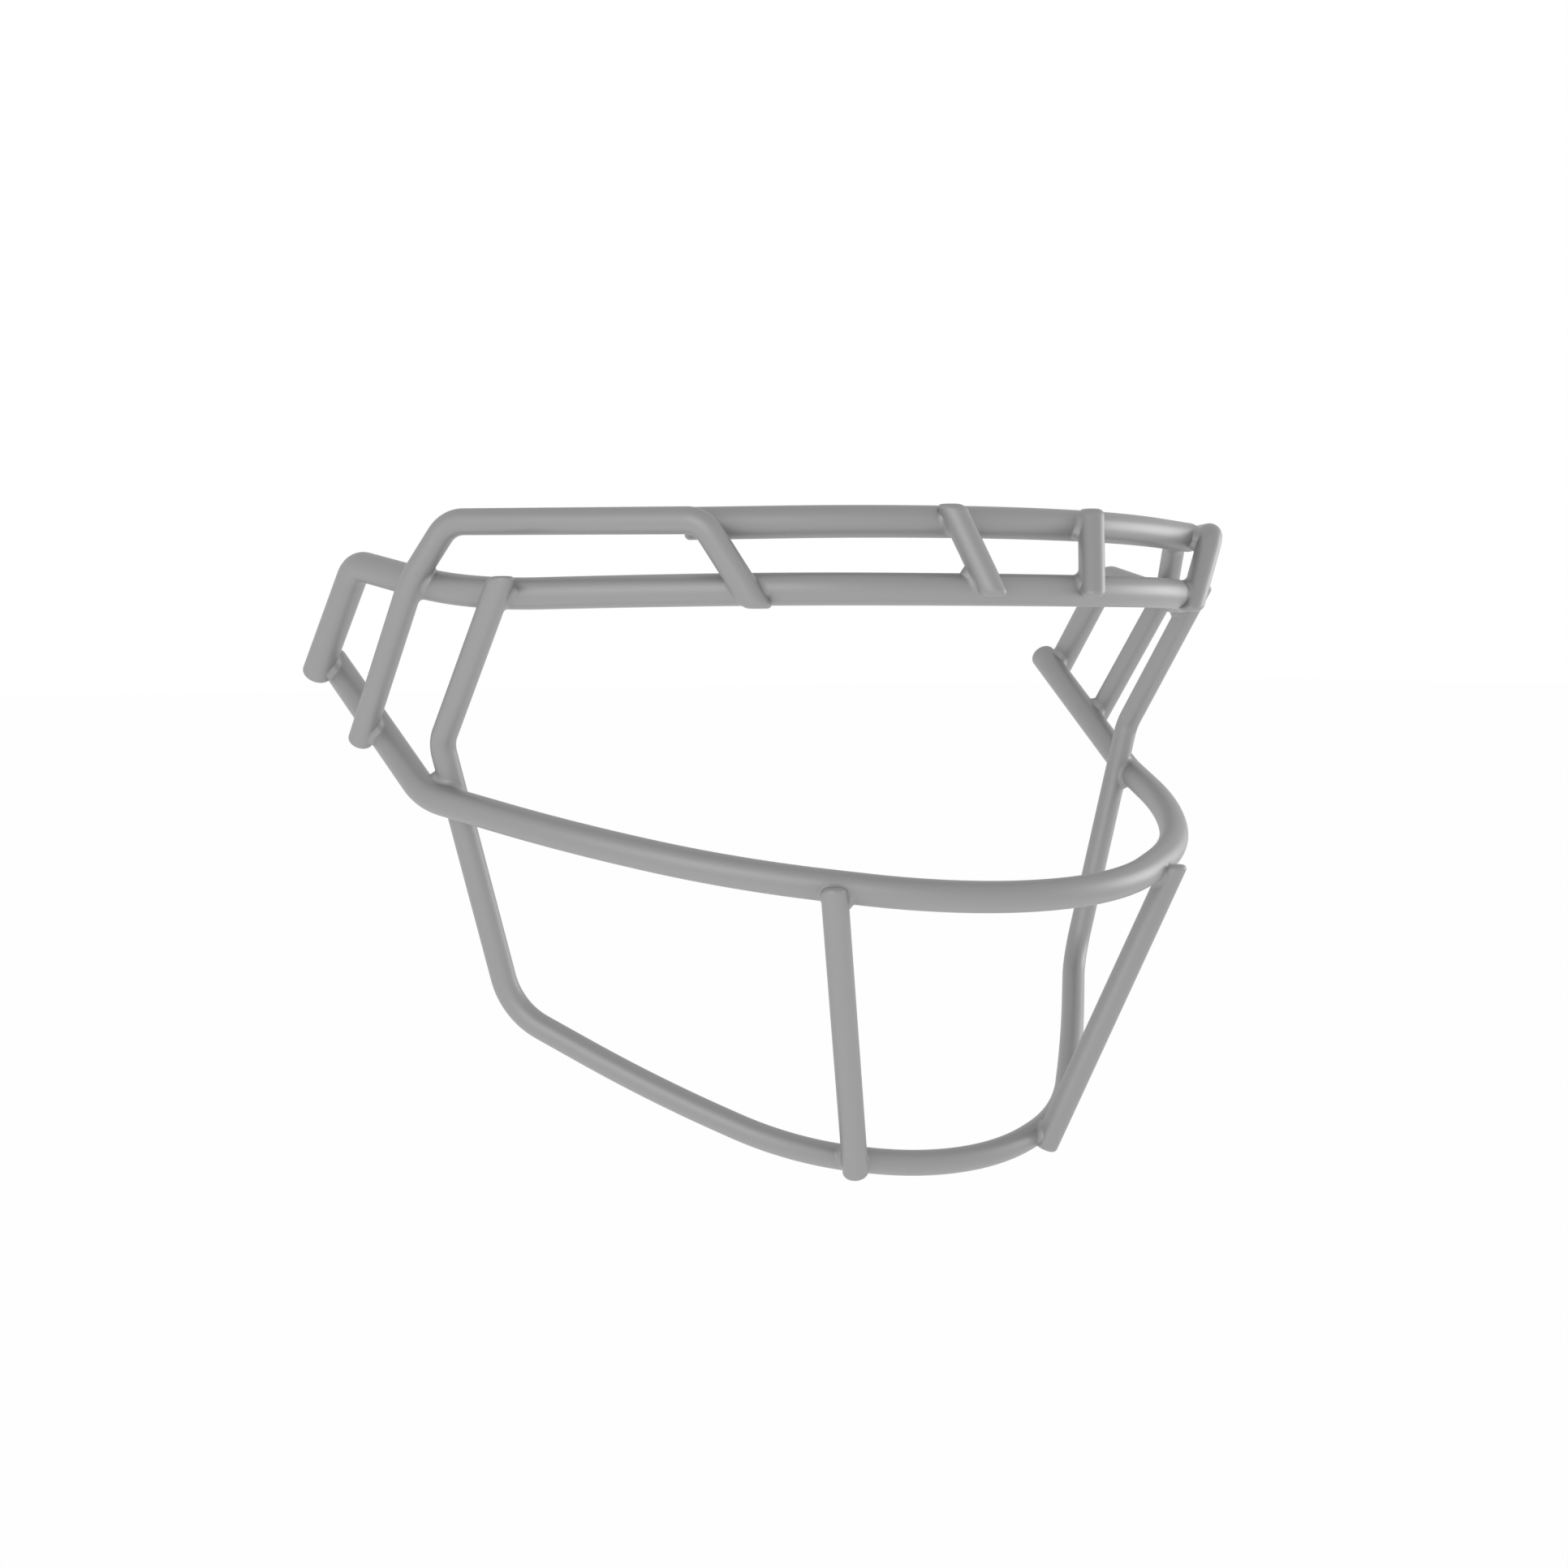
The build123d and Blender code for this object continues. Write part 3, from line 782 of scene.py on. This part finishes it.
def baked_coat(finish):
    """Grey powder coat: fine flowed grain, faint mottle, and a clear satin skin over it."""
    flow_share, patch_share, fine_share, skin_index = 0.3, 0.7, 0.5, 1.5
    material = bpy.data.materials.new("baked_coat")
    shader = Shader(material, "ShaderNodeOutputMaterial")
    place = shader.node("ShaderNodeTexCoord", output="Object")
    fine = shader.noise(place, 1 / finish.grain, 2.0)
    flow = shader.noise(place, flow_share / finish.grain, 1.0)
    patch = shader.noise(place, 1 / finish.mottle, 3.0)
    mottle = patch * patch_share + fine * (1 - patch_share)
    bump = shader.node("ShaderNodeBump", {}, {
        "Strength": finish.bump,
        "Distance": finish.bump_height,
        "Height": fine * fine_share + flow * (1 - fine_share),
    })
    shader.finish(shader.node("ShaderNodeBsdfPrincipled", {}, {
        "Base Color": shader.blend(mottle, finish.coat_shade, finish.coat_colour),
        "Roughness": (1 - finish.smoothness) + (patch - 0.5) * finish.unevenness,
        "Normal": bump,
        "Coat Weight": finish.sheen,
        "Coat Roughness": finish.skin_roughness,
        "Coat IOR": skin_index,
    }))
    return material


def drawn_steel(finish):
    """Bare drawn rod: a bright metal with fine uneven roughness."""
    roughness, unevenness, dark_share, bump_strength, bump_height = 0.28, 0.14, 0.85, 0.2, 0.00003
    material = bpy.data.materials.new("drawn_steel")
    shader = Shader(material, "ShaderNodeOutputMaterial")
    place = shader.node("ShaderNodeTexCoord", output="Object")
    scale = shader.noise(place, 1 / finish.grain, 4.0)
    steel = tuple(finish.steel_colour)
    shader.finish(shader.node("ShaderNodeBsdfPrincipled", {}, {
        "Base Color": shader.blend(scale, tuple(dark_share * c for c in steel), steel),
        "Metallic": 1.0,
        "Roughness": roughness + scale * unevenness,
        "Normal": shader.node(
            "ShaderNodeBump", {}, {"Strength": bump_strength, "Distance": bump_height, "Height": scale}
        ),
    }))
    return material


def pale_floor(stage):
    """White floor that mostly glows, so that the object stands on white with hardly a shadow."""
    material = bpy.data.materials.new("pale_floor")
    shader = Shader(material, "ShaderNodeOutputMaterial")
    matt = shader.node("ShaderNodeBsdfDiffuse", {}, {"Color": (*[stage.floor_tone] * 3, 1)})
    white = shader.node("ShaderNodeEmission", {}, {"Color": (1, 1, 1, 1), "Strength": 1.0})
    shader.finish(shader.node("ShaderNodeMixShader", {}, {0: stage.floor_glow, 1: matt, 2: white}))
    return material


def pale_world(stage):
    """Surroundings that look white, and light the object at their own lower level."""
    world = bpy.data.worlds.new("studio")
    shader = Shader(world, "ShaderNodeOutputWorld")
    camera = shader.node("ShaderNodeLightPath", output="Is Camera Ray")
    rays = camera.socket.node.outputs
    seen = camera + Socket(shader, rays["Is Glossy Ray"]) + Socket(shader, rays["Is Transmission Ray"])
    seen.socket.node.use_clamp = True
    strength = seen * (1 - stage.surroundings) + stage.surroundings
    shader.finish(shader.node("ShaderNodeBackground", {}, {"Color": (1, 1, 1, 1), "Strength": strength}))
    return world


def shared_material(name, make):
    """A material by name, made once from the scene's finish settings."""
    return bpy.data.materials.get(name) or make(bpy.context.scene.facemask_finish)


# Steps

def finished(piece, *nodes):
    """Gives a coated piece its material and its body, and hides the nodes it stands for."""
    piece.data.materials.append(shared_material("baked_coat", baked_coat))
    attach(piece, "root")
    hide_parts(*nodes)


def add_bars(names):
    scene = bpy.context.scene
    bars, _ = cage(scene)
    for name in names:
        finished(rounded_bar(f"{name}_bar", bars[name], scene.facemask_wire), f"{name}_coat")


class FACEMASK_OT_brow(bpy.types.Operator):
    """Adds the lower and upper brow bars"""

    bl_idname = "facemask.brow"
    bl_label = "Brow bars"

    def execute(self, context):
        add_bars(["lower_brow", "upper_brow"])
        return {"FINISHED"}


class FACEMASK_OT_jaw(bpy.types.Operator):
    """Adds the jaw bar"""

    bl_idname = "facemask.jaw"
    bl_label = "Jaw bar"

    def execute(self, context):
        add_bars(["jaw"])
        return {"FINISHED"}


class FACEMASK_OT_chin_loop(bpy.types.Operator):
    """Adds the chin loop"""

    bl_idname = "facemask.chin_loop"
    bl_label = "Chin loop"

    def execute(self, context):
        add_bars(["chin_loop"])
        return {"FINISHED"}


class FACEMASK_OT_guards(bpy.types.Operator):
    """Adds both side guards"""

    bl_idname = "facemask.guards"
    bl_label = "Side guards"

    def execute(self, context):
        add_bars(["left_guard", "right_guard"])
        return {"FINISHED"}


class FACEMASK_OT_short_bars(bpy.types.Operator):
    """Adds the brow struts and the chin posts"""

    bl_idname = "facemask.short_bars"
    bl_label = "Struts and posts"

    def execute(self, context):
        add_bars(["left_strut", "right_strut", "left_post", "right_post"])
        return {"FINISHED"}


class FACEMASK_OT_collars(bpy.types.Operator):
    """Adds the collar of coated weld metal at each crossing"""

    bl_idname = "facemask.collars"
    bl_label = "Weld collars"

    def execute(self, context):
        wire = context.scene.facemask_wire
        bars, welds = cage(context.scene)
        for name, base, rider, point, seat in welds:
            pair = bars[base], bars[rider]
            radii = [bar.coated_radius(wire) for bar in pair]
            routes = []
            for bar, radius in zip(pair, radii):
                trims = [radius / steep for _, _, steep, _ in bar.cuts(wire)]
                routes.append(near(bar.route(FINE_STEP, trims), seat))
            for side, flip in (("left", 1), ("right", TO_RIGHT_SIDE)):
                side_routes = [(points * flip, ways * flip) for points, ways in routes]
                piece = collar(
                    f"{side}_collar_{name}", side_routes, radii, point * flip, seat * flip, wire
                )
                finished(piece, f"{side}_weld_{name}")
        return {"FINISHED"}


class FACEMASK_OT_rods(bpy.types.Operator):
    """Gives the bare rods inside the coat their drawn steel"""

    bl_idname = "facemask.rods"
    bl_label = "Steel rods"

    def execute(self, context):
        steel = shared_material("drawn_steel", drawn_steel)
        for name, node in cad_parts.items():
            if name.endswith("_wire"):
                for held in node.material_slots:
                    held.material = steel
        return {"FINISHED"}


class FACEMASK_OT_stage(bpy.types.Operator):
    """Adds the floor, the lamps, the pale surroundings and the camera"""

    bl_idname = "facemask.stage"
    bl_label = "Stage"

    def execute(self, context):
        stage = context.scene.facemask_stage
        self.floor(context, stage)
        context.scene.world = pale_world(stage)
        self.lamp(context, "key_lamp", stage.key_place, stage.key_size, stage.key_power)
        self.lamp(context, "fill_lamp", stage.fill_place, stage.fill_size, stage.fill_power)
        self.camera(context, stage)
        context.scene.view_settings.view_transform = "Standard"
        return {"FINISHED"}

    def floor(self, context, stage):
        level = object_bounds()[0][Z]
        half = stage.floor_size / 2
        corners = [(-half, -half, level), (half, -half, level), (half, half, level), (-half, half, level)]
        mesh = bpy.data.meshes.new("floor")
        mesh.from_pydata(corners, [], [[0, 1, 2, 3]])
        mesh.materials.append(pale_floor(stage))
        floor = bpy.data.objects.new("floor", mesh)
        context.scene.collection.objects.link(floor)
        floor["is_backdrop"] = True

    def lamp(self, context, name, place, size, power):
        """A square lamp that faces the middle of the object."""
        data = bpy.data.lights.new(name, "AREA")
        data.size = size
        data.energy = power
        lamp = bpy.data.objects.new(name, data)
        lamp.location = place
        centre = (Vector(CAD_BOX[0]) + Vector(CAD_BOX[1])) / 2
        lamp.rotation_euler = (centre - Vector(place)).to_track_quat("-Z", "Y").to_euler()
        context.scene.collection.objects.link(lamp)

    def camera(self, context, stage):
        sensor_width, nearest, furthest = 36, 0.01, 30
        data = bpy.data.cameras.new("camera")
        data.sensor_fit = "HORIZONTAL"
        data.sensor_width = sensor_width
        data.lens = stage.lens
        data.clip_start, data.clip_end = nearest, furthest
        camera = bpy.data.objects.new("camera", data)
        camera.location = stage.camera_place
        aim = Vector(stage.camera_target) - Vector(stage.camera_place)
        camera.rotation_euler = aim.to_track_quat("-Z", "Y").to_euler()
        context.scene.collection.objects.link(camera)
        context.scene.camera = camera


OPERATORS = [
    FACEMASK_OT_brow,
    FACEMASK_OT_jaw,
    FACEMASK_OT_chin_loop,
    FACEMASK_OT_guards,
    FACEMASK_OT_short_bars,
    FACEMASK_OT_collars,
    FACEMASK_OT_rods,
    FACEMASK_OT_stage,
]


class FACEMASK_PT_parts(bpy.types.Panel):
    """Lists the settings and the steps that build the facemask"""

    bl_idname = "FACEMASK_PT_parts"
    bl_label = "Facemask"
    bl_space_type = "VIEW_3D"
    bl_region_type = "UI"
    bl_category = "Facemask"

    def draw(self, context):
        for name, group in SETTINGS.items():
            box = self.layout.box()
            box.label(text=group.__doc__)
            for key in group.__annotations__:
                box.prop(getattr(context.scene, name), key)
        for operator in OPERATORS:
            self.layout.operator(operator.bl_idname)


def register():
    for name, group in SETTINGS.items():
        bpy.utils.register_class(group)
        setattr(bpy.types.Scene, name, PointerProperty(type=group))
    for operator in OPERATORS:
        bpy.utils.register_class(operator)
    bpy.utils.register_class(FACEMASK_PT_parts)


def unregister():
    bpy.utils.unregister_class(FACEMASK_PT_parts)
    for operator in reversed(OPERATORS):
        bpy.utils.unregister_class(operator)
    for name, group in SETTINGS.items():
        delattr(bpy.types.Scene, name)
        bpy.utils.unregister_class(group)


def main():
    register()
    bpy.ops.facemask.brow()
    bpy.ops.facemask.jaw()
    bpy.ops.facemask.chin_loop()
    bpy.ops.facemask.guards()
    bpy.ops.facemask.short_bars()
    bpy.ops.facemask.collars()
    bpy.ops.facemask.rods()
    bpy.ops.facemask.stage()


if __name__ == "__main__":
    main()
